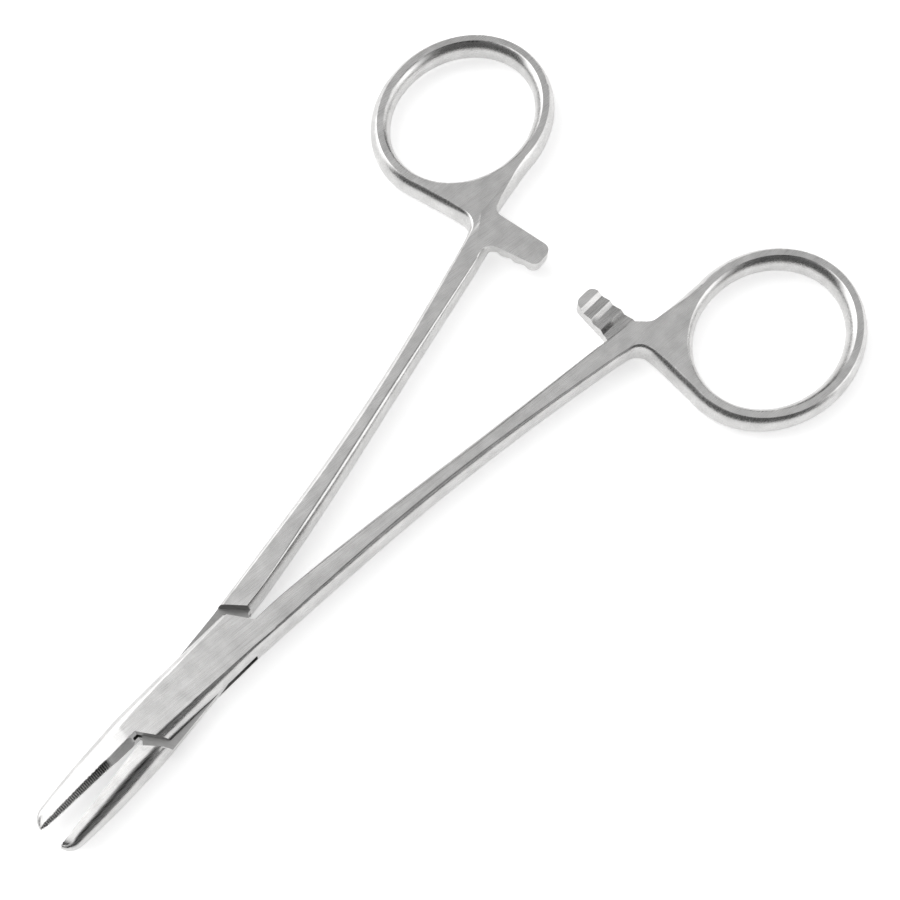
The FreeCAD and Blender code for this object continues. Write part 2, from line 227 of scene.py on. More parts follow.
# Grip faces: darker as painted shade between the jaws, painted highlight on the points, painted shade in the
# hollows
grip_steel_painted_light = make_steel("grip steel, painted shade and highlights", 45.0, (0.22, 0.36), relief=0.4, painted_light_tone=0.8, painted_points_and_hollows=True)
print("materials:", [steel.name for steel in (satin_steel, edge_steel_painted_highlight, milled_steel_painted_shade, grip_steel_painted_light)])

# %% [markdown]
# ## Smooth lines through a few stations
# A forging die is drawn from a few widths along its length, joined by smooth curves. The helper below
# draws such a curve through stations, so that a long edge needs only a handful of measured sizes.

# %% Helper: smooth curve


def smooth_curve(stations, x):
    """Cubic pieces through the stations, each starting and ending with the slope of its neighbours' chord."""
    points = np.array(sorted(stations), float)
    slopes = np.gradient(points[:, 1], points[:, 0])
    piece = np.clip(np.searchsorted(points[:, 0], x) - 1, 0, len(points) - 2)
    start, width = points[piece, 0], points[piece + 1, 0] - points[piece, 0]
    t = np.clip((x - start) / width, 0, 1)
    low, high = points[piece, 1], points[piece + 1, 1]
    rise_low, rise_high = slopes[piece] * width, slopes[piece + 1] * width
    return (
        low * (1 + 2 * t) * (1 - t) ** 2
        + rise_low * t * (1 - t) ** 2
        + high * t**2 * (3 - 2 * t)
        - rise_high * t**2 * (1 - t)
    )


print("half way up a straight line:", smooth_curve([(0, 0), (1, 1)], 0.5))

# %% [markdown]
# ## One half in plan
# Both halves come from the same kind of forging: jaw, box, shank, web and finger ring lie in one plane, so
# the plan view says most. Each stretch of the outline below is the widest line of the side, half way up.
# The sides bulge to that line, and "crown" is how far it stands out past the flat above it.

# %% Sizes of a half, in millimetres
BOX_WIDTH_HALF = 4.2
BOX_HEIGHT_HALF = 3.1
RING_HEIGHT_HALF = 2.45
SHARP_CROWN = 0.01
TIP_X, TIP_START_X, TIP_WIDTH, TIP_SLOPE = -30.9, -28.9, 2.3, 0.15
JAW_ROOT_X, SHANK_ROOT_X = -13.0, 13.0
FACE_GAP_AT_TIP, FACE_GAP_AT_BOX = 0.03, 0.1
SHANK_END_X = 83.0
RING_CENTRE = np.array((105.0, 26.25))
RING_HOLE = np.array((14.42, 11.57))
RING_INNER_CROWN, RING_FLAT, RING_OUTER_CROWN = 1.25, 1.12, 1.15
RING_RADII = RING_HOLE + RING_INNER_CROWN + RING_FLAT + RING_OUTER_CROWN
RING_FROM, RING_TO = -93.5, 186.5

# Tables of stations: x, and the side's y, its crown, its roll or the half height there
JAW_SIDE = [
    (-28.9, -2.33), (-26.5, -2.72), (-22.0, -3.3), (-16.5, -3.8), (-12.5, -4.1), (-7.0, -4.2), (9.0, -4.2),
]
JAW_CROWN = [
    (-30.9, 0.55), (-30.0, 0.95), (-28.9, 1.3), (-26.5, 1.65), (-22.0, 2.05), (-16.5, 2.3), (-12.5, 2.05),
]
BOX_CROWN = [(-12.5, 2.05), (0.0, 1.35), (12.5, 0.85)]
BOX_ROLL = [(-13.0, 88.0), (-6.0, 76.0), (0.0, 66.0), (6.0, 61.0), (13.0, 60.0)]
JAW_ROLL, SHANK_ROLL = 90.0, 80.0
HALF_HEIGHT = [
    (-30.9, 0.95), (-30.2, 1.3), (-28.7, 1.65), (-25.0, 2.08), (-19.0, 2.56), (-14.5, 2.98), (-12.5, 3.1),
    (-10.0, 3.1), (12.5, 3.1), (16.0, 3.08), (24.8, 3.0), (40.0, 2.8), (55.0, 2.62), (70.0, 2.49),
    (80.0, 2.45), (90.0, 2.45),
]
SHANK_INNER = [
    (11.0, 0.12), (16.0, 0.14), (24.8, 0.47), (34.8, 1.33), (44.9, 2.45), (54.9, 3.65), (64.9, 4.83),
    (74.9, 5.98), (83.0, 6.92), (87.0, 7.4),
]
SHANK_OUTER = [
    (9.0, 4.2), (12.8, 4.36), (24.8, 4.97), (34.8, 5.54), (44.9, 6.32), (54.9, 7.33), (64.9, 8.56),
    (74.9, 10.0), (83.0, 11.25),
]
INNER_CROWN = [(11.0, 0.3), (17.0, 0.4), (24.8, 1.0), (40.0, 1.25), (55.0, 1.2), (70.0, 0.95), (83.0, 0.75)]
OUTER_CROWN = [(11.0, 0.9), (24.8, 1.1), (40.0, 1.25), (55.0, 1.2), (70.0, 0.95), (83.0, 0.75)]
WEB_CROWN = [
    (84.0, 0.75), (89.0, 0.6), (91.0, 0.3), (93.0, 0.35), (96.0, 0.62), (98.3, 0.85), (101.0, 1.1),
    (104.0, 1.15),
]

# Corners as x, y and the radius that rounds them, and the y values between which the crotch changes
WEB_CORNERS = [(84.0, 7.04, 0), (90.2, 7.8, 1.0), (92.7, 10.5, 2.2), (103.6, 11.17, 0)]
CROTCH_CORNERS = [(87.3, 23.6, 0), (88.25, 12.35, 2.3), (84.0, 11.42, 0)]
CROTCH_CROWN_Y, CROTCH_ROLL_Y = (12.0, 18.0), (11.5, 15.5)

# How many points a stretch has, or how far apart they stand
TIP_POINTS, JAW_POINTS, BOX_POINTS, RING_POINTS, HOLE_POINTS = 16, 30, 24, 110, 96
SHANK_STEP, WEB_STEP = 1.0, 0.5
print("length of a half:", round(RING_CENTRE[0] + RING_RADII[0] - TIP_X, 2))

# %% [markdown]
# ## The outline, stretch by stretch
# Each stretch gives four columns: x, y, the crown there, and the roll. Roll is how far, in degrees, the side
# has turned from upright where it meets the flat: 90 leaves no edge. Put end to end the stretches run once
# round the half, anticlockwise, in its own frame: pivot at the origin, jaws closed, ring on the +y side.

# %% Helper: rounded path


def rounded_path(corners, steps=8):
    """Open line through (x, y, radius) corners. Each inner corner becomes an arc touching both its sides."""
    corners = np.array(corners, float)
    path = [corners[:1, :2]]
    for before, here, after in zip(corners[:-2], corners[1:-1], corners[2:]):
        toward_before = (before - here)[:2] / np.linalg.norm((before - here)[:2])
        toward_after = (after - here)[:2] / np.linalg.norm((after - here)[:2])
        half_angle = math.acos(np.clip(toward_before @ toward_after, -1, 1)) / 2
        bisector = (toward_before + toward_after) / np.linalg.norm(toward_before + toward_after)
        centre = here[:2] + bisector * here[2] / math.sin(half_angle)
        first = here[:2] + toward_before * here[2] / math.tan(half_angle) - centre
        last = here[:2] + toward_after * here[2] / math.tan(half_angle) - centre
        turn = (math.pi - 2 * half_angle) * np.linspace(0, 1, steps)[:, None]
        normal = (last - first * math.cos(turn[-1, 0])) / math.sin(turn[-1, 0])
        path.append(centre + first * np.cos(turn) + normal * np.sin(turn))
    path.append(corners[-1:, :2])
    return np.concatenate(path)


def even_steps(path, step):
    """The same line with points a given distance apart."""
    lengths = np.concatenate([[0], np.cumsum(np.linalg.norm(np.diff(path, axis=0), axis=1))])
    count = max(2, int(round(lengths[-1] / step)) + 1)
    at = np.linspace(0, lengths[-1], count)
    return np.stack([np.interp(at, lengths, path[:, 0]), np.interp(at, lengths, path[:, 1])], 1)


print("points in the crotch:", len(even_steps(rounded_path(CROTCH_CORNERS), WEB_STEP)))

# %% Stretches of the outline


def with_crown(x, y, crown, roll=None):
    """Columns x, y, crown and roll. Without a roll the side is an arc of a circle from flat to flat."""
    if roll is None:
        roll = np.degrees(2 * np.arctan(np.asarray(crown) / RING_HEIGHT_HALF))
    return np.stack([x, y, np.broadcast_to(crown, x.shape), np.broadcast_to(roll, x.shape)], 1)


def jaw_tip():
    """Quarter of an ellipse, leaning with the jaw's side: from the face at the very end to the side."""
    turn = np.linspace(0, math.pi / 2, TIP_POINTS)[:-1]
    x = TIP_START_X + (TIP_X - TIP_START_X) * np.cos(turn)
    y = -FACE_GAP_AT_TIP - np.sin(turn) * (TIP_WIDTH - TIP_SLOPE * (TIP_START_X - x))
    return with_crown(x, y, smooth_curve(JAW_CROWN, x), JAW_ROLL)


def jaw_side():
    """The jaw's side curve, from behind the tip to the box."""
    x = np.linspace(TIP_START_X, JAW_ROOT_X, JAW_POINTS)
    return with_crown(x, smooth_curve(JAW_SIDE, x), smooth_curve(JAW_CROWN, x), JAW_ROLL)


def box_inner_side(corner_x):
    """The same curve along the box, up to the corner of the slanted end. The side grows upright."""
    x = np.linspace(JAW_ROOT_X, corner_x, BOX_POINTS)[1:]
    return with_crown(x, smooth_curve(JAW_SIDE, x), smooth_curve(BOX_CROWN, x), smooth_curve(BOX_ROLL, x))


def shank_inner_side(start_x):
    """The inner curve of the shank, with a first point where the slanted end of the box meets it."""
    x = np.concatenate([[start_x], np.arange(SHANK_ROOT_X, SHANK_END_X + SHANK_STEP / 2, SHANK_STEP)])
    return with_crown(x, smooth_curve(SHANK_INNER, x), smooth_curve(INNER_CROWN, x), SHANK_ROLL)


def web_inner_side():
    """From the shank behind the arm to the ring, as a line with rounded corners."""
    path = even_steps(rounded_path(WEB_CORNERS), WEB_STEP)
    return with_crown(path[:, 0], path[:, 1], smooth_curve(WEB_CROWN, path[:, 0]))


def ring_outer_side():
    """Most of an ellipse: centre plus the radii times the cosine and the sine of the turn."""
    turn = np.radians(np.linspace(RING_FROM, RING_TO, RING_POINTS))
    x = RING_CENTRE[0] + RING_RADII[0] * np.cos(turn)
    y = RING_CENTRE[1] + RING_RADII[1] * np.sin(turn)
    return with_crown(x, y, RING_OUTER_CROWN)


def web_crotch_side():
    """From the ring round the crotch to the shank. Crown and roll change in a straight line with y."""
    path = even_steps(rounded_path(CROTCH_CORNERS), WEB_STEP)
    crown = np.interp(path[:, 1], CROTCH_CROWN_Y, (OUTER_CROWN[-1][1], RING_OUTER_CROWN))
    rows = with_crown(path[:, 0], path[:, 1], crown)
    rows[:, 3] = np.interp(path[:, 1], CROTCH_ROLL_Y, (SHANK_ROLL, rows[0, 3]))
    return rows


def shank_outer_side():
    """The outer curve of the shank, back towards the box."""
    x = np.arange(SHANK_END_X, SHANK_ROOT_X + SHANK_STEP / 2, -SHANK_STEP)
    return with_crown(x, smooth_curve(SHANK_OUTER, x), smooth_curve(OUTER_CROWN, x), SHANK_ROLL)


def box_outer_side(corner_x):
    """The shank's outer curve as far as it reaches, and then straight along the box."""
    x = np.linspace(SHANK_ROOT_X, corner_x, BOX_POINTS)
    y = np.where(x > SHANK_OUTER[0][0], smooth_curve(SHANK_OUTER, x), BOX_WIDTH_HALF)
    return with_crown(x, y, smooth_curve(BOX_CROWN, x), smooth_curve(BOX_ROLL, x))


def gripping_face(x):
    """A straight line beside the centre line. Its gap grows evenly from the tip to the box."""
    share = (x - TIP_X) / (JAW_ROOT_X - TIP_X)
    y = -(FACE_GAP_AT_TIP + share * (FACE_GAP_AT_BOX - FACE_GAP_AT_TIP))
    return with_crown(x, y, SHARP_CROWN, JAW_ROLL)


print("roll of the ring:", round(ring_outer_side()[0, 3], 1), "degrees")

# %% [markdown]
# ## From the outline to a closed surface
# The flats lie inside the outline by the crown. Where a slanted box end or the gripping face meets a
# bulging side, the flat's corner slides along the upright wall, as a mitre does in a picture frame.

# %% Closed outline of a half
# Stretches that end in an upright wall, and the sine of a turn from which a point counts as a corner
STRETCH_ENDS = ("box inner side", "box outer side", "face corner", "face")
CORNER_SINE = 0.3


def half_outline(side_end_x, inner_start_x):
    """All stretches in order, as one dictionary. The two x values place the slanted ends of the box."""
    stretches = {
        "tip": jaw_tip(),
        "jaw side": jaw_side(),
        "box inner side": box_inner_side(side_end_x),
        "shank inner side": shank_inner_side(inner_start_x),
        "web inner side": web_inner_side(),
        "ring": ring_outer_side(),
        "crotch": web_crotch_side(),
        "shank outer side": shank_outer_side(),
        "box outer side": box_outer_side(-side_end_x),
        "face corner": gripping_face(np.array([-inner_start_x])),
    }
    side = np.concatenate([stretches["tip"], stretches["jaw side"]])
    stretches["face"] = gripping_face(side[:0:-1, 0])
    return stretches


def edge_crowns(stretches):
    """Crown of the edge after each point: the mean of its ends, but none on the upright walls."""
    crowns = np.concatenate([rows[:, 2] for rows in stretches.values()])
    edges = (crowns + np.roll(crowns, -1)) / 2
    last = dict(zip(stretches, np.cumsum([len(rows) for rows in stretches.values()]) - 1))
    edges[[last[name] for name in STRETCH_ENDS]] = SHARP_CROWN
    return edges


def inset_points(points, crowns, edge_crown):
    """Moves each point inward: on a smooth stretch by its crown, at a corner until both edges are inset."""
    edge = np.roll(points, -1, axis=0) - points
    edge /= np.linalg.norm(edge, axis=1)[:, None]
    normal = np.stack([-edge[:, 1], edge[:, 0]], 1)
    before, before_crown = np.roll(normal, 1, axis=0), np.roll(edge_crown, 1)
    cross = before[:, 0] * normal[:, 1] - before[:, 1] * normal[:, 0]
    average = before + normal
    average /= (average * normal).sum(1)[:, None]
    is_corner = np.abs(cross) > CORNER_SINE
    safe = np.where(is_corner, cross, 1.0)
    corner_move = np.stack(
        [
            (before_crown * normal[:, 1] - edge_crown * before[:, 1]) / safe,
            (before[:, 0] * edge_crown - normal[:, 0] * before_crown) / safe,
        ],
        1,
    )
    return points + np.where(is_corner[:, None], corner_move, average * crowns[:, None])


# %% Walls
WALL_ROWS = 8
LEAST_STEEPNESS, LEAST_TURN = 2.0, 0.1


def wall_grid(points, inset, crowns, rolls, heights):
    """Rows from the lower flat over the crest to the upper flat. Each column is part of an ellipse that is
    upright at the crest. It ends at the turn T where its slope is roll:
    cos T = 1 / (tan(roll) height / crown - 1)."""
    crowns = np.maximum(crowns, SHARP_CROWN)
    steepness = np.maximum(np.tan(np.radians(rolls)) * heights / crowns, LEAST_STEEPNESS)
    full_turn = np.arccos(1 / (steepness - 1))
    turn = np.linspace(-1, 1, 2 * WALL_ROWS + 1)[:, None] * np.maximum(full_turn, LEAST_TURN)
    share = (1 - np.cos(turn)) / (1 - np.cos(turn[-1]))
    z = heights * np.sin(turn) / np.sin(turn[-1])
    xy = points[None] + share[:, :, None] * (inset - points)[None]
    return np.concatenate([xy, z[:, :, None]], 2)


def hole_wall():
    """The finger hole as a clockwise ellipse, so that its wall faces inward. The flat lies outside it."""
    turn = np.linspace(0, -2 * math.pi, HOLE_POINTS + 1)[:-1, None]
    direction = np.concatenate([np.cos(turn), np.sin(turn)], 1)
    hole = RING_CENTRE + RING_HOLE * direction
    rows = with_crown(hole[:, 0], hole[:, 1], RING_INNER_CROWN)
    heights = np.full(HOLE_POINTS, RING_HEIGHT_HALF)
    return wall_grid(hole, hole + RING_INNER_CROWN * direction, rows[:, 2], rows[:, 3], heights)


def grid_faces(rows, columns, start):
    """Quads of a grid that closes on itself along the columns. Anticlockwise loops face outward."""
    row, column = np.meshgrid(np.arange(rows - 1), np.arange(columns), indexing="ij")
    following = (column + 1) % columns
    low, high = start + row * columns, start + (row + 1) * columns
    return np.stack([low + column, low + following, high + following, high + column], -1).reshape(-1, 4)


print("points on the wall of the hole:", hole_wall()[:, :, 0].size)

# %% Flats


def strip_faces(first, second):
    """Quads between two lists of point numbers that run the same way."""
    return np.stack([first[:-1], first[1:], second[1:], second[:-1]], 1).tolist()


def half_flats(stretches):
    """Loops of point numbers: those that tile jaw, shank and box, the one round web and ring, box ends."""
    stop = np.cumsum([len(part) for part in stretches.values()])
    number = {name: np.arange(end - len(stretches[name]), end) for name, end in zip(stretches, stop)}
    side = np.concatenate([number["tip"], number["jaw side"]])
    jaw = strip_faces(side[1:], number["face"][::-1])
    shank_outer = np.append(number["shank outer side"], number["box outer side"][0])
    shank = strip_faces(number["shank inner side"][1:], shank_outer[::-1])
    tip = [side[0], side[1], number["face"][-1]]
    box = [
        side[-1], *number["box inner side"], *number["shank inner side"][:2],
        *number["box outer side"], *number["face corner"], number["face"][0],
    ]
    web = [
        number["shank inner side"][-1], *number["web inner side"], *number["ring"], *number["crotch"],
        number["shank outer side"][0],
    ]
    return jaw + shank + [tip, box], np.array(web), [number[name][-1] for name in STRETCH_ENDS[:2]]


def web_triangles(outside, hole):
    """Triangles between the loop round web and ring and the loop of the hole, all anticlockwise."""
    loops = [[(x, y, 0.0) for x, y in loop] for loop in (outside, hole)]
    triangles = np.array(tessellate_polygon(loops))
    a, b, c = (np.array(loops[0] + loops[1])[triangles[:, i]] for i in range(3))
    clockwise = ((b - a)[:, 0] * (c - a)[:, 1] - (b - a)[:, 1] * (c - a)[:, 0]) < 0
    triangles[clockwise] = triangles[clockwise][:, ::-1]
    return triangles


def half_blank(side_end_x, inner_start_x):
    """Vertices and faces of one half before anything is cut from it, and which faces are slanted box ends."""
    stretches = half_outline(side_end_x, inner_start_x)
    rows = np.concatenate(list(stretches.values()))
    points, crowns, rolls = rows[:, :2], rows[:, 2], rows[:, 3]
    heights = np.minimum(smooth_curve(HALF_HEIGHT, points[:, 0]), BOX_HEIGHT_HALF)
    inset = inset_points(points, crowns, edge_crowns(stretches))
    outer = wall_grid(points, inset, crowns, rolls, heights)
    inner = hole_wall()
    levels, count = outer.shape[:2]
    top, hole = (levels - 1) * count, levels * count
    hole_top = hole + (levels - 1) * HOLE_POINTS
    flats, web, box_ends = half_flats(stretches)
    triangles = web_triangles(outer[-1, web, :2], inner[-1, :, :2])
    upper = np.concatenate([top + web, hole_top + np.arange(HOLE_POINTS)])
    lower = np.concatenate([web, hole + np.arange(HOLE_POINTS)])
    faces = grid_faces(levels, count, 0).tolist() + grid_faces(levels, HOLE_POINTS, hole).tolist()
    faces += [[top + int(i) for i in face] for face in flats]
    faces += [[int(i) for i in face[::-1]] for face in flats]
    faces += upper[triangles].tolist() + lower[triangles][:, ::-1].tolist()
    vertices = np.concatenate([outer.reshape(-1, 3), inner.reshape(-1, 3)])
    return vertices, faces, [row * count + end for row in range(levels - 1) for end in box_ends]


# %% [markdown]
# ## Cutting tools
# A toolmaker forges the blank and then mills it. The same order works here: the blank is a closed surface,
# each milling cut is another closed surface, and a Boolean modifier takes one from the other. The work is
# done in millimetres, because the modifiers measure best near one, and it is turned into metres at the end.

# %% Helpers: solids and cuts


def surface_object(name, vertices, faces, *materials):
    """An object in the scene, made from points, faces and its materials."""
    mesh = bpy.data.meshes.new(name)
    mesh.from_pydata(np.asarray(vertices).tolist(), [], faces)
    for material in materials:
        mesh.materials.append(material)
    made = bpy.data.objects.new(name, mesh)
    bpy.context.scene.collection.objects.link(made)
    return made


def apply_modifiers(made):
    """Replaces the object's mesh by what its modifiers make of it."""
    bpy.context.view_layer.update()
    seen = made.evaluated_get(bpy.context.evaluated_depsgraph_get())
    finished = bpy.data.meshes.new_from_object(seen)
    made.modifiers.clear()
    made.data = finished
    return made


def cut_with(made, tool, operation="DIFFERENCE"):
    """One exact Boolean. The faces that the tool leaves keep the tool's material."""
    cut = made.modifiers.new("cut", "BOOLEAN")
    cut.operation = operation
    cut.solver = "EXACT"
    cut.object = tool
    cut.material_mode = "TRANSFER"
    apply_modifiers(made)
    bpy.data.objects.remove(tool)
    return made


def prism(name, outline, low, high, material, along="Z"):
    """Closed prism over an anticlockwise outline: a loop at the low level, one at the high level, lids."""
    outline = np.asarray(outline, float)
    count = len(outline)
    rings = [np.column_stack([outline, np.full(count, level)]) for level in (low, high)]
    vertices = np.concatenate(rings)
    if along == "X":
        vertices = vertices[:, [2, 0, 1]]
    i = np.arange(count)
    j = (i + 1) % count
    walls = np.stack([i, j, j + count, i + count], 1).tolist()
    return surface_object(name, vertices, walls + [i[::-1].tolist(), (i + count).tolist()], material)


# %% [markdown]
# ## The box lock
# One half carries a slot right through its box, between an upper and a lower cheek. The other half is
# milled down to a thin tongue there, which fills the slot and turns in it. Slanted shoulders on the tongue
# half stand clear of the slanted cheek ends, and that gap is what the eye picks out in the photograph.

# %% Sizes of the box lock
SLOT_HALF_HEIGHT = 0.88
TONGUE_HALF_HEIGHT = 0.8
CHEEK_CORNER_X, CHEEK_INNER_X = 9.04, 11.92
TONGUE_CORNER_X, TONGUE_INNER_X = 8.2, 12.52
SLOT_END_SUM = 12.8
SHOULDER_DISTANCE, SHOULDER_TURN = 10.95, math.radians(33.7)
CUT_REACH = 6.0
CUT_TOP = 4.0
print("gap above and below the tongue:", round(SLOT_HALF_HEIGHT - TONGUE_HALF_HEIGHT, 2))


def slot_outline():
    """Between the lines where x + y is the slot's end sum or minus that, and past both sides of the box."""
    return [
        (-SLOT_END_SUM + CUT_REACH, -CUT_REACH), (SLOT_END_SUM + CUT_REACH, -CUT_REACH),
        (SLOT_END_SUM - CUT_REACH, CUT_REACH), (-SLOT_END_SUM - CUT_REACH, CUT_REACH),
    ]


def shoulder_outline():
    """Between two lines at the shoulders' distance from the pivot, turned by the shoulders' angle."""
    corners = [(-1, -CUT_REACH), (1, -CUT_REACH), (1, CUT_REACH), (-1, CUT_REACH)]
    return [
        ((side * SHOULDER_DISTANCE - y * math.sin(SHOULDER_TURN)) / math.cos(SHOULDER_TURN), y)
        for side, y in corners
    ]


# %% [markdown]
# ## The ratchet
# Each half has an arm of half its thickness. The lower arm has its teeth on top and the upper one
# underneath, so that they hook into each other when the rings are pressed together. A tooth rises in a
# long ramp and drops in a short steep flank, which is what holds.

# %% Ratchet arm
ARM_TIP_NEAR_X, ARM_ROOT_NEAR_X, ARM_FAR_X = 87.5, 86.2, 91.85
ARM_TIP_Y, ARM_TIP_RADIUS = -1.4, 1.4
ARM_TOP = -0.05
TOOTH_FIRST_Y, TOOTH_PITCH, TOOTH_FLANK, TOOTH_DEPTH, TOOTH_COUNT = 0.1, 2.5, 0.75, 0.65, 3
TOOTH_CUT_X, TOOTH_CUT_TOP = (84.0, 94.0), 1.0
# Corners as x, y and the radius that rounds them
ARM_CORNERS = [
    (82.0, 7.62, 0), (ARM_ROOT_NEAR_X, 8.08, 2.2),
    (ARM_TIP_NEAR_X, ARM_TIP_Y, ARM_TIP_RADIUS), (ARM_FAR_X, ARM_TIP_Y, ARM_TIP_RADIUS),
    (ARM_FAR_X, 10.35, 1.7), (96.4, 11.55, 0), (90.5, 12.1, 0),
]
RECESS_CORNERS = [
    (84.9, -4.0, 0), (94.5, -4.0, 0), (94.5, 7.4, 0), (91.0, 8.25, 0.8), (85.3, 7.5, 0.5), (84.9, 7.2, 0),
]


def tooth_gap(ridge_y, material):
    """Wedge behind a ridge, as a profile in y and z that runs across the arm."""
    root = ARM_TOP - TOOTH_DEPTH
    profile = [
        (ridge_y, ARM_TOP), (ridge_y + TOOTH_FLANK, root), (ridge_y + TOOTH_PITCH, ARM_TOP),
        (ridge_y + TOOTH_PITCH, TOOTH_CUT_TOP), (ridge_y, TOOTH_CUT_TOP),
    ]
    return prism("tooth gap", profile, *TOOTH_CUT_X, material, along="X")


def ratchet_arm(material):
    """The arm's outline from the underside of the ring to its own top, less one wedge for each tooth."""
    arm = prism("arm", rounded_path(ARM_CORNERS), -RING_HEIGHT_HALF, ARM_TOP, material)
    for number in range(TOOTH_COUNT):
        cut_with(arm, tooth_gap(TOOTH_FIRST_Y + number * TOOTH_PITCH, material))
    return arm


def recess(material):
    """Room above the arm for the other half's arm. Its long wall carries on the line of the shank."""
    return prism("recess", rounded_path(RECESS_CORNERS), ARM_TOP, CUT_TOP, material)


print("gap between the two arms:", -2 * ARM_TOP)

# %% [markdown]
# ## Cross-cut jaws
# The gripping faces are cut by two families of V grooves that cross, which leaves rows of small pyramids
# for the needle to bite into. On a lattice of half the pitch every second point is a peak and the others
# are pits, and a groove runs from pit to pit. Splitting each square of the lattice along its groove gives
# the exact shape with very few faces.

# %% Cross-cut tool
GRIP_PITCH = 0.7
GRIP_DEPTH = 0.35
GRIP_END_X, PITS_END_X = -12.6, -17.0
GRIP_FADE = 1.6
GRIP_EDGE_BAND, GRIP_EDGE_SHARE = 0.7, 0.35
GRIP_SKIM = 0.012
GRIP_SHIFT = 0.013
GRIP_FRONT_Y = 1.0


def grip_tool(material):
    """Closed block in front of the face. Its back is y = face - skim at the peaks and deeper at the pits,
    which get shallower towards the flats of the jaw and towards the box."""
    step = GRIP_PITCH / 2
    columns = int(round((GRIP_END_X - TIP_X + 2 * step) / step)) + 1
    rows = 2 * int(math.ceil(BOX_HEIGHT_HALF / step)) + 3
    x = GRIP_END_X - step * np.arange(columns)[::-1]
    z = step * (np.arange(rows) - (rows - 1) / 2) + GRIP_SHIFT
    column, row = np.meshgrid(np.arange(columns), np.arange(rows), indexing="ij")
    is_pit = (column + row) % 2 == 1
    face_y = gripping_face(x)[:, 1]
    jaw_height = smooth_curve(HALF_HEIGHT, x)[:, None]
    depth = GRIP_DEPTH * np.clip((jaw_height - np.abs(z)) / GRIP_EDGE_BAND, GRIP_EDGE_SHARE, 1)
    skim = GRIP_SKIM * np.clip((GRIP_END_X - x) / GRIP_FADE, 0, 1)[:, None]
    fade = np.clip((PITS_END_X - x) / GRIP_FADE, 0, 1)[:, None]
    back_y = face_y[:, None] - skim - depth * is_pit * fade
    back = np.stack([np.broadcast_to(x[:, None], back_y.shape), back_y, np.broadcast_to(z, back_y.shape)], -1)
    front = back.copy()
    front[:, :, 1] = GRIP_FRONT_Y
    number = column * rows + row
    squares = (number[:-1, :-1], number[1:, :-1], number[1:, 1:], number[:-1, 1:])
    a, b, c, d = (part.ravel() for part in squares)
    pit_first = is_pit[:-1, :-1].ravel()[:, None]
    one = np.where(pit_first, np.stack([a, b, c], 1), np.stack([a, b, d], 1))
    two = np.where(pit_first, np.stack([a, c, d], 1), np.stack([b, c, d], 1))
    rim = np.concatenate([number[:, 0], number[-1, 1:], number[-2::-1, -1], number[0, -2:0:-1]])
    shift = columns * rows
    following = np.roll(rim, -1)
    walls = np.stack([rim, rim + shift, following + shift, following], 1).tolist()
    lid = (rim + shift)[::-1].tolist()
    faces = one.tolist() + two.tolist() + walls + [lid]
    vertices = np.concatenate([back.reshape(-1, 3), front.reshape(-1, 3)])
    return surface_object("grip tool", vertices, faces, material)


print("pyramids per centimetre:", round(10 / GRIP_PITCH))

# %% [markdown]
# ## The two halves
# Box half and tongue half share the blank and differ in their cuts. Sharp edges are broken by a narrow
# bevel, as a polisher does, and the bevel's faces get a brighter steel of their own, for wear and as a
# painted highlight. The grip is cut last, so that its teeth stay sharp. Each half is then turned to where it
# rests and becomes metres.

# %% Build and place the halves
REST_TURN = 3.65
EDGE_WIDTH, EDGE_SEGMENTS = 0.11, 2
EDGE_ANGLE, SHADING_ANGLE = math.radians(28.0), math.radians(32.0)
FLAT_WEIGHT = 80
# Satin steel, edge steel with a painted highlight, and milled steel with painted shade
HALF_STEELS = (satin_steel, edge_steel_painted_highlight, milled_steel_painted_shade)
EDGE_HIGHLIGHT_FINISH, MILLED_SHADE_FINISH = 1, 2


def break_edges(made):
    """A narrow bevel on each edge sharper than the angle, in brighter steel: worn edges and a painted
    highlight.
    """
    bevel = made.modifiers.new("broken edges", "BEVEL")
    bevel.width = EDGE_WIDTH
    bevel.segments = EDGE_SEGMENTS
    bevel.limit_method = "ANGLE"
    bevel.angle_limit = EDGE_ANGLE
    bevel.material = EDGE_HIGHLIGHT_FINISH
    return apply_modifiers(made)


def place_half(made, mirrored_axis, turn_degrees):
    """Mirrors one axis, turns about the pivot, lifts by half the box and scales millimetres to metres."""
    mesh = made.data
    points = np.empty(len(mesh.vertices) * 3)
    mesh.vertices.foreach_get("co", points)
    points = points.reshape(-1, 3)
    points[:, mirrored_axis] *= -1
    turn = math.radians(turn_degrees)
    x, y = points[:, 0].copy(), points[:, 1].copy()
    points[:, 0] = x * math.cos(turn) - y * math.sin(turn)
    points[:, 1] = x * math.sin(turn) + y * math.cos(turn)
    points[:, 2] += BOX_HEIGHT_HALF
    mesh.vertices.foreach_set("co", (points * MM).ravel())
    mesh.flip_normals()
    mesh.update()
    return made


def finish_surface(made, body, node):
    """Smooth shading with the true edges kept, and flats that stay flat beside their broken edges."""
    made.data.shade_smooth()
    made.data.set_sharp_from_angle(angle=SHADING_ANGLE)
    even = made.modifiers.new("even flats", "WEIGHTED_NORMAL")
    even.keep_sharp = True
    even.weight = FLAT_WEIGHT
    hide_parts(node)
    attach(made, body)
    return made


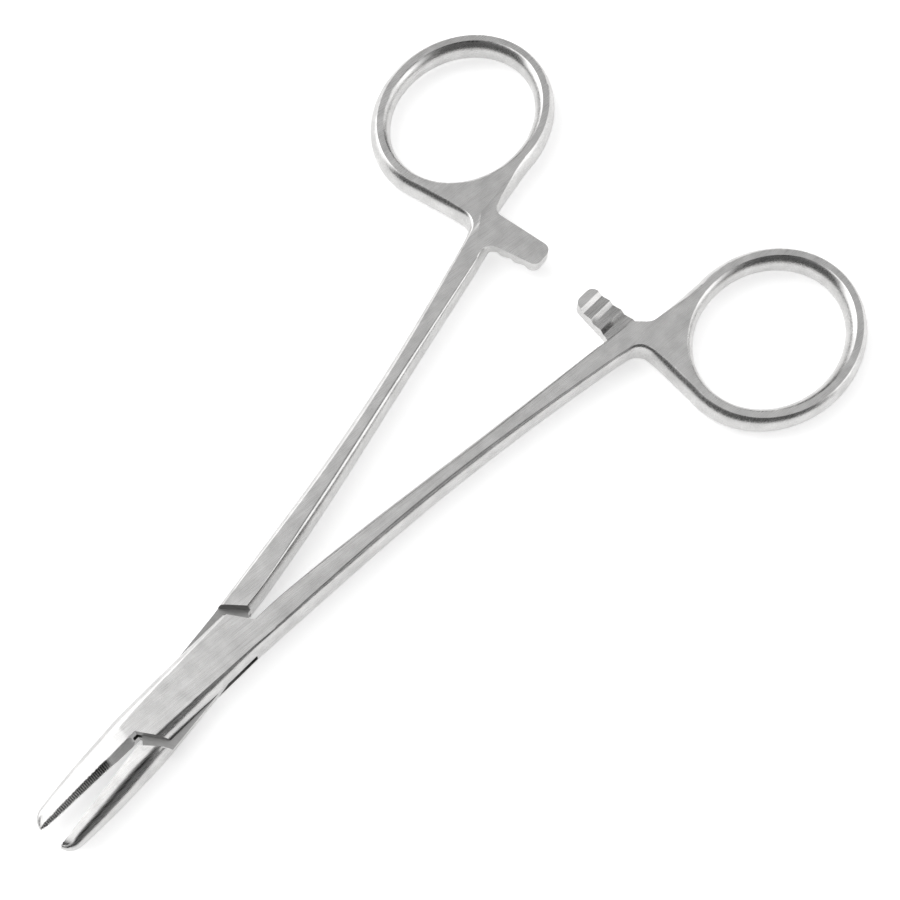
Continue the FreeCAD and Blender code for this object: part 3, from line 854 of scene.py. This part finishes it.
def make_half(name, corner_x, inner_x, cutters):
    """Blank, box lock cuts, arm, recess, broken edges and grip, in a toolmaker's order."""
    vertices, faces, ends = half_blank(corner_x, inner_x)
    made = surface_object(name, vertices, faces, *HALF_STEELS)
    # The slanted box ends take the milled steel, darker as painted shade
    for number in ends:
        made.data.polygons[number].material_index = MILLED_SHADE_FINISH
    for outline, low, high in cutters:
        cut_with(made, prism("cutter", outline, low, high, milled_steel_painted_shade))
    cut_with(made, ratchet_arm(satin_steel), "UNION")
    cut_with(made, recess(milled_steel_painted_shade))
    break_edges(made)
    # The cut grip faces take the grip steel with its painted shade and highlights
    return cut_with(made, grip_tool(grip_steel_painted_light))


box_side = make_half(
    "box_half_steel", CHEEK_CORNER_X, CHEEK_INNER_X, [(slot_outline(), -SLOT_HALF_HEIGHT, SLOT_HALF_HEIGHT)]
)
place_half(box_side, 1, -REST_TURN)
finish_surface(box_side, "box_side", "box_half")
tongue_side = make_half(
    "tongue_half_steel", TONGUE_CORNER_X, TONGUE_INNER_X,
    [(shoulder_outline(), TONGUE_HALF_HEIGHT, CUT_TOP), (shoulder_outline(), -CUT_TOP, -TONGUE_HALF_HEIGHT)],
)
place_half(tongue_side, 2, REST_TURN)
finish_surface(tongue_side, "tongue_side", "tongue_half")
for made in (box_side, tongue_side):
    print(made.name, "faces:", len(made.data.polygons))

# %% [markdown]
# ## The rivet
# The rivet is hammered into both cheeks, ground flush and polished over until its edge can't be seen. Only
# the tongue shows its shank, when the jaws swing wide. It is a plain turned pin that ends just inside the
# cheeks' surfaces, so that nothing of it stands proud.

# %% Rivet
PIN_RADIUS, PIN_POINTS = 1.9, 48
PIN_SUNK, PIN_CHAMFER = 0.05, 0.1


def turned_pin():
    """Loop of points at the radius, repeated at each level, with a narrow chamfer at both ends."""
    turn = np.linspace(0, 2 * math.pi, PIN_POINTS + 1)[:-1]
    top = BOX_HEIGHT_HALF - PIN_SUNK
    levels = np.array([-top, -top + PIN_CHAMFER, top - PIN_CHAMFER, top])
    radii = np.array([PIN_RADIUS - PIN_CHAMFER, PIN_RADIUS, PIN_RADIUS, PIN_RADIUS - PIN_CHAMFER])
    x = radii[:, None] * np.cos(turn)
    y = radii[:, None] * np.sin(turn)
    z = np.broadcast_to(levels[:, None] + BOX_HEIGHT_HALF, x.shape)
    number = np.arange(x.size).reshape(x.shape)
    faces = grid_faces(*x.shape, 0).tolist() + [number[0, ::-1].tolist(), number[-1].tolist()]
    return np.stack([x, y, z], -1).reshape(-1, 3) * MM, faces


rivet = surface_object("rivet_steel", *turned_pin(), satin_steel)
finish_surface(rivet, "box_side", "joint_pin")
print(rivet.name, "faces:", len(rivet.data.polygons))

# %% [markdown]
# ## The table
# The instrument lies on a white table. White has to come from the table's own colour and not from more
# light, so the camera and mirrors see a little glow added to a plain matt surface. Its shadow stays.

# %% Floor
FLOOR_HALF_SIZE = 4000 * MM
FLOOR_COLOUR, FLOOR_ROUGHNESS = (0.92, 0.92, 0.92, 1.0), 0.9
FLOOR_GLOW = 0.55


def make_floor():
    """One square: the corners are plus or minus the half size. Its glow shows only to camera and mirrors."""
    corners = np.array([(-1, -1, 0), (1, -1, 0), (1, 1, 0), (-1, 1, 0)]) * FLOOR_HALF_SIZE
    mesh = bpy.data.meshes.new("table")
    mesh.from_pydata(corners.tolist(), [], [(0, 1, 2, 3)])
    floor = bpy.data.objects.new("table", mesh)
    bpy.context.scene.collection.objects.link(floor)
    material = bpy.data.materials.new("white table")
    material.use_nodes = True
    nodes, links = material.node_tree.nodes, material.node_tree.links
    shader = nodes["Principled BSDF"]
    shader.inputs["Base Color"].default_value = FLOOR_COLOUR
    shader.inputs["Roughness"].default_value = FLOOR_ROUGHNESS
    shader.inputs["Specular IOR Level"].default_value = 0.0
    shader.inputs["Emission Color"].default_value = (1.0, 1.0, 1.0, 1.0)
    path = nodes.new("ShaderNodeLightPath")
    seen = math_node(nodes, links, "MAXIMUM", path.outputs["Is Camera Ray"], path.outputs["Is Glossy Ray"])
    seen = math_node(nodes, links, "MAXIMUM", seen, path.outputs["Is Transmission Ray"])
    glow = math_node(nodes, links, "MULTIPLY", seen, FLOOR_GLOW)
    links.new(glow, shader.inputs["Emission Strength"])
    mesh.materials.append(material)
    return floor


table = make_floor()
print("table half size in metres:", FLOOR_HALF_SIZE)

# %% [markdown]
# ## Studio light
# Polished metal shows the room more than its own colour. The light tent is grey, brighter overhead and dark
# near the horizon, and that dark rim draws the dark bands on the sides. Soft panels stand round it: a tall
# one on the left of the picture and a low one on the right give the white bands, and a narrow one on the
# right lights the steep flanks of the ratchet. One panel has a level below zero. It stands for the dark
# camera, which flat steel mirrors back. Each panel is a soft spot on the sky, made by one node group, and
# one broad lamp adds the soft shadow on the table.

# %% World and lamps
# Tent: how high a direction points, from 0 level to 1 straight up, and how bright the tent is there
TENT_STOPS = [(0.0, 0.1), (0.5, 0.12), (0.77, 0.22), (0.87, 0.42), (0.94, 0.55), (1.0, 0.62)]
# Panels: azimuth and elevation of the middle, half angle of the even core, half angle of the edge, level
PANELS = [
    (105.0, 24.0, 14.0, 46.0, 2.2),
    (140.0, 64.0, 10.0, 28.0, 1.3),
    (-42.0, 6.0, 10.0, 40.0, 1.3),
    (25.0, 52.0, 10.0, 34.0, 0.35),
    (-114.0, 70.0, 8.0, 28.0, -0.45),
    (-63.0, 24.0, 7.0, 20.0, 1.1),
]
# Key softbox: place, aim and width in metres, power in watts
KEY_AT, KEY_AIM = (-0.05, 0.5, 0.75), (0.045, 0.0, 0.0)
KEY_SIZE, KEY_POWER = 0.7, 0.25


def make_panel_group():
    """Value = level, falling smoothly to nothing as the direction turns from the core to the edge."""
    group = bpy.data.node_groups.new("soft panel", "ShaderNodeTree")
    group_socket(group, "Direction", "NodeSocketVector", "INPUT")
    group_socket(group, "Towards", "NodeSocketVector", "INPUT")
    group_socket(group, "Core cosine", "NodeSocketFloat", "INPUT", 0.95)
    group_socket(group, "Edge cosine", "NodeSocketFloat", "INPUT", 0.7)
    group_socket(group, "Level", "NodeSocketFloat", "INPUT", 1.0)
    group_socket(group, "Light", "NodeSocketFloat", "OUTPUT")
    nodes, links = group.nodes, group.links
    inputs = nodes.new("NodeGroupInput")
    outputs = nodes.new("NodeGroupOutput")
    cosine = nodes.new("ShaderNodeVectorMath")
    cosine.operation = "DOT_PRODUCT"
    links.new(inputs.outputs["Direction"], cosine.inputs[0])
    links.new(inputs.outputs["Towards"], cosine.inputs[1])
    fall = nodes.new("ShaderNodeMapRange")
    fall.interpolation_type = "SMOOTHSTEP"
    links.new(cosine.outputs["Value"], fall.inputs["Value"])
    links.new(inputs.outputs["Edge cosine"], fall.inputs["From Min"])
    links.new(inputs.outputs["Core cosine"], fall.inputs["From Max"])
    light = math_node(nodes, links, "MULTIPLY", fall.outputs["Result"], inputs.outputs["Level"])
    links.new(light, outputs.inputs["Light"])
    return group


def towards(azimuth, elevation):
    """Unit direction from two angles in degrees."""
    azimuth, elevation = math.radians(azimuth), math.radians(elevation)
    flat = math.cos(elevation)
    return (flat * math.cos(azimuth), flat * math.sin(azimuth), math.sin(elevation))


def make_world():
    """Light = the tent's level at that height plus what each panel adds in that direction."""
    world = bpy.data.worlds.new("light tent")
    bpy.context.scene.world = world
    world.use_nodes = True
    nodes, links = world.node_tree.nodes, world.node_tree.links
    background = nodes["Background"]
    place = nodes.new("ShaderNodeTexCoord")
    split = nodes.new("ShaderNodeSeparateXYZ")
    ramp = nodes.new("ShaderNodeValToRGB")
    links.new(place.outputs["Generated"], split.inputs["Vector"])
    links.new(split.outputs["Z"], ramp.inputs["Fac"])
    elements = ramp.color_ramp.elements
    while len(elements) < len(TENT_STOPS):
        elements.new(0.5)
    for element, (position, level) in zip(elements, TENT_STOPS):
        element.position = position
        element.color = (level, level, level, 1.0)
    total = ramp.outputs["Color"]
    panel_group = make_panel_group()
    for azimuth, elevation, core, edge, level in PANELS:
        panel = nodes.new("ShaderNodeGroup")
        panel.node_tree = panel_group
        panel.inputs["Towards"].default_value = towards(azimuth, elevation)
        panel.inputs["Core cosine"].default_value = math.cos(math.radians(core))
        panel.inputs["Edge cosine"].default_value = math.cos(math.radians(edge))
        panel.inputs["Level"].default_value = level
        links.new(place.outputs["Generated"], panel.inputs["Direction"])
        total = math_node(nodes, links, "ADD", total, panel.outputs["Light"])
    links.new(total, background.inputs["Color"])
    background.inputs["Strength"].default_value = 1.0


def make_lamp(name, at, aim, size, power):
    """A round lamp, turned so that its own minus z axis points from its place to the aim."""
    lamp = bpy.data.lights.new(name, "AREA")
    lamp.shape = "DISK"
    lamp.size = size
    lamp.energy = power
    holder = bpy.data.objects.new(name, lamp)
    bpy.context.scene.collection.objects.link(holder)
    holder.location = at
    direction = np.array(aim) - np.array(at)
    holder.rotation_euler = Vector(direction).to_track_quat("-Z", "Y").to_euler()
    return holder


make_world()
make_lamp("key softbox", KEY_AT, KEY_AIM, KEY_SIZE, KEY_POWER)

# %% [markdown]
# ## The camera
# The photograph looks down at a steep angle, turned so that the instrument lies corner to corner. The
# camera is set by where it stands, the point it aims at and the direction on the table that points up in
# the picture. The focal length follows from how wide the frame is at that distance.

# %% Camera
CAMERA_AT = np.array((-28.363, -62.515, 243.439))
CAMERA_AIM = np.array((53.375, -5.266, 3.1))
PICTURE_UP_AZIMUTH = 39.55
FOCAL_LENGTH_IN_FRAMES = 1628.18 / 900
SENSOR_WIDTH = 36.0
CLIP_START, CLIP_END = 0.01, 10.0


def make_camera():
    """Forward from the place to the aim, right across it and the picture's up, and up across these two."""
    forward = CAMERA_AIM - CAMERA_AT
    forward /= np.linalg.norm(forward)
    azimuth = math.radians(PICTURE_UP_AZIMUTH)
    right = np.cross(forward, (math.cos(azimuth), math.sin(azimuth), 0.0))
    right /= np.linalg.norm(right)
    up = np.cross(right, forward)
    camera = bpy.data.objects.new("camera", bpy.data.cameras.new("camera"))
    bpy.context.scene.collection.objects.link(camera)
    matrix = np.identity(4)
    matrix[:3, 0] = right
    matrix[:3, 1] = up
    matrix[:3, 2] = -forward
    matrix[:3, 3] = CAMERA_AT * MM
    camera.matrix_world = Matrix(matrix.tolist())
    camera.data.sensor_width = SENSOR_WIDTH
    camera.data.lens = FOCAL_LENGTH_IN_FRAMES * SENSOR_WIDTH
    camera.data.clip_start = CLIP_START
    camera.data.clip_end = CLIP_END
    bpy.context.scene.camera = camera
    return camera


camera = make_camera()
print("lens in millimetres:", round(camera.data.lens, 2))

# %% [markdown]
# ## Finish
# The Standard view keeps the white table white.

# %% Finish
bpy.context.scene.view_settings.view_transform = "Standard"
